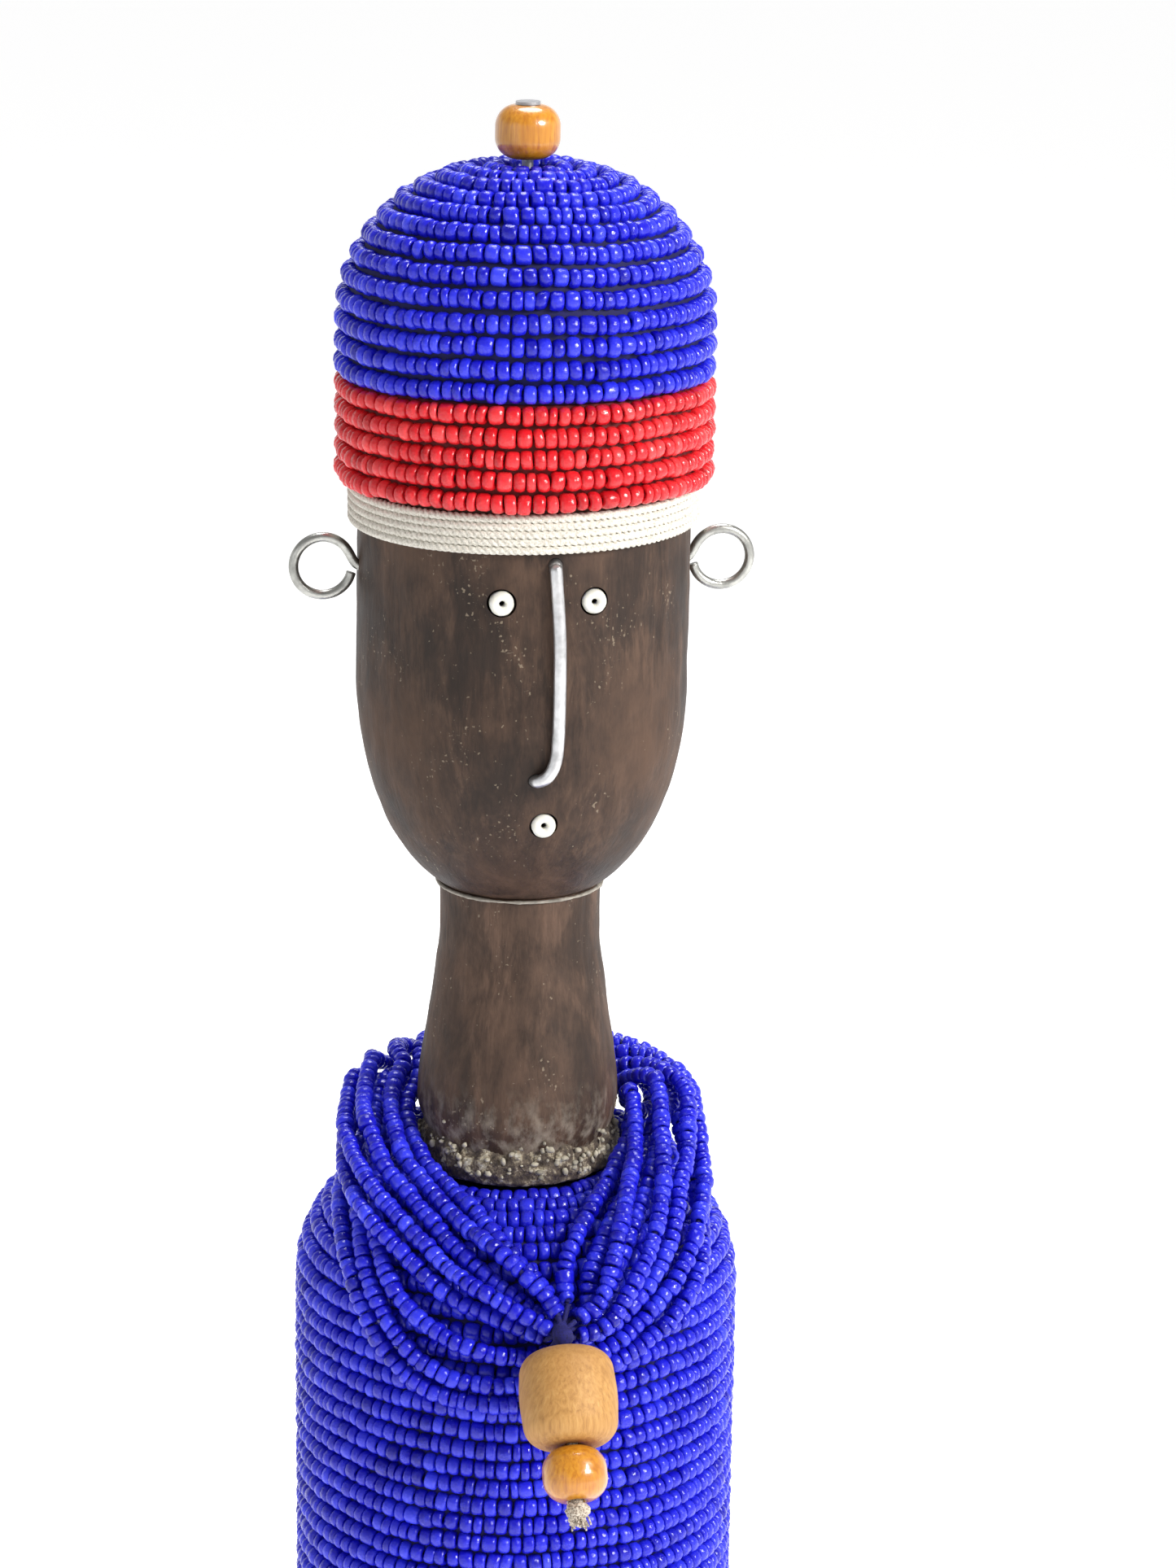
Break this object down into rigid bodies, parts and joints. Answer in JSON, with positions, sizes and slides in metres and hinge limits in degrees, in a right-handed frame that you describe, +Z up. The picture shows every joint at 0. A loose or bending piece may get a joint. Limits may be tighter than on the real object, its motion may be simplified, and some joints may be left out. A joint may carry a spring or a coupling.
{
  "type": "beaded fertility doll",
  "caption": "Standing carved wooden doll wound with strung glass beads, with screw-eye ears, a wire nose, a beaded cap and a many-strand necklace with a hanging pendant of wooden beads.",
  "frame": {"origin": "centre of the flat base, on the surface that the doll stands on", "axes": "+Z up along the doll's axis, -Y the way the face looks, +X towards the doll's left ear"},
  "size_m": [0.0734, 0.1002, 0.33],
  "materials": {
    "dark_oiled_wood": "hand carved, oiled, satin",
    "dried_glue": "crusted, matte",
    "blue_glass_beads": "opaque glass, glossy",
    "red_glass_beads": "opaque glass, glossy",
    "white_glass_beads": "opaque glass, glossy",
    "cotton_cord": "twisted cord, matte",
    "cotton_thread": "twisted thread, frayed",
    "steel_nail": "bright wire nail",
    "zinc_plated_wire": "zinc plated, bright",
    "aluminium_wire": "dull drawn wire",
    "varnished_wood": "amber varnish, glossy",
    "plain_wood": "bare sanded wood"
  },
  "bodies": {
    "root": {"torso_core": "dark_oiled_wood", "neck_post": "dark_oiled_wood", "head_block": "dark_oiled_wood", "chin_glue_line": "dried_glue", "neck_glue_collar": "dried_glue", "body_bead_winding": "blue_glass_beads", "shoulder_bead_winding": "blue_glass_beads", "cap_blue_winding": "blue_glass_beads", "cap_red_winding": "red_glass_beads", "headband_cord": "cotton_cord", "crown_nail": "steel_nail", "left_ear_screw_eye": "zinc_plated_wire", "right_ear_screw_eye": "zinc_plated_wire", "nose_wire": "aluminium_wire", "left_eye_bead": "white_glass_beads", "right_eye_bead": "white_glass_beads", "mouth_bead": "white_glass_beads"},
    "crown_bead": {"crown_bead": "varnished_wood"},
    "necklace": {"necklace_strand_1": "blue_glass_beads", "necklace_strand_2": "blue_glass_beads", "necklace_strand_3": "blue_glass_beads", "necklace_strand_4": "blue_glass_beads", "necklace_strand_5": "blue_glass_beads", "necklace_strand_6": "blue_glass_beads", "necklace_strand_7": "blue_glass_beads", "necklace_strand_8": "blue_glass_beads", "necklace_strand_9": "blue_glass_beads", "necklace_strand_10": "blue_glass_beads", "necklace_strand_11": "blue_glass_beads", "strand_tie_thread": "cotton_thread"},
    "swing_knot": {"pendant_swing_knot": "cotton_thread"},
    "pendant": {"pendant_cord": "cotton_thread"},
    "barrel_bead": {"pendant_barrel_bead": "plain_wood"},
    "round_bead": {"pendant_round_bead": "varnished_wood"}
  },
  "joints": [
    {"name": "crown_bead_spin", "type": "hinge", "parent": "root", "child": "crown_bead", "pos_m": [0, 0, 0.3254], "axis": [0, 0, 1], "continuous": true},
    {"name": "necklace_turn", "type": "hinge", "parent": "root", "child": "necklace", "pos_m": [0, 0, 0.16], "axis": [0, 0, 1], "continuous": true},
    {"name": "pendant_swing", "type": "hinge", "parent": "necklace", "child": "swing_knot", "pos_m": [0.00076, -0.04339, 0.1463], "axis": [-0.0175, -0.9998, 0], "range_deg": [-30, 30]},
    {"name": "pendant_lift", "type": "hinge", "parent": "swing_knot", "child": "pendant", "pos_m": [0.00076, -0.04339, 0.1463], "axis": [-0.9998, 0.0175, 0], "range_deg": [0, 60]},
    {"name": "barrel_bead_spin", "type": "hinge", "parent": "pendant", "child": "barrel_bead", "pos_m": [0.00076, -0.04339, 0.1463], "axis": [-0.0112, -0.6427, -0.766], "continuous": true},
    {"name": "round_bead_spin", "type": "hinge", "parent": "pendant", "child": "round_bead", "pos_m": [0.00076, -0.04339, 0.1463], "axis": [-0.0112, -0.6427, -0.766], "continuous": true}
  ]
}
